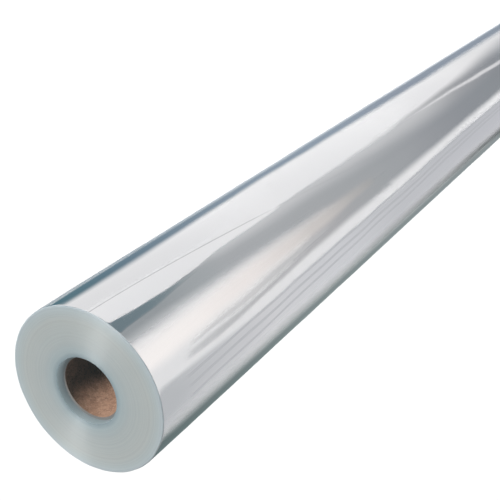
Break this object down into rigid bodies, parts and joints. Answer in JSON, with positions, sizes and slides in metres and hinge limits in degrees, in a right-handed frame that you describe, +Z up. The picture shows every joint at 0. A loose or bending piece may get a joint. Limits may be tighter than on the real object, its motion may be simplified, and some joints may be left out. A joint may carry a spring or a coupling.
{
  "type": "roll of cellophane",
  "caption": "Roll of clear glossy wrapping film wound tightly on a hollow paperboard core, standing on its end.",
  "frame": {"origin": "centre of the lower end face of the film, on the surface the roll stands on", "axes": "+Z up along the axis of the roll; X and Y are equal, as the roll is round"},
  "size_m": [0.105, 0.105, 0.9],
  "materials": {
    "film": "clear high-gloss film, mirror-bright on the outer turn and milky on the cut ends",
    "core": "uncoated kraft paperboard with short dark fibres"
  },
  "bodies": {
    "root": {"film_winding": "film", "core_tube": "core"}
  },
  "joints": []
}
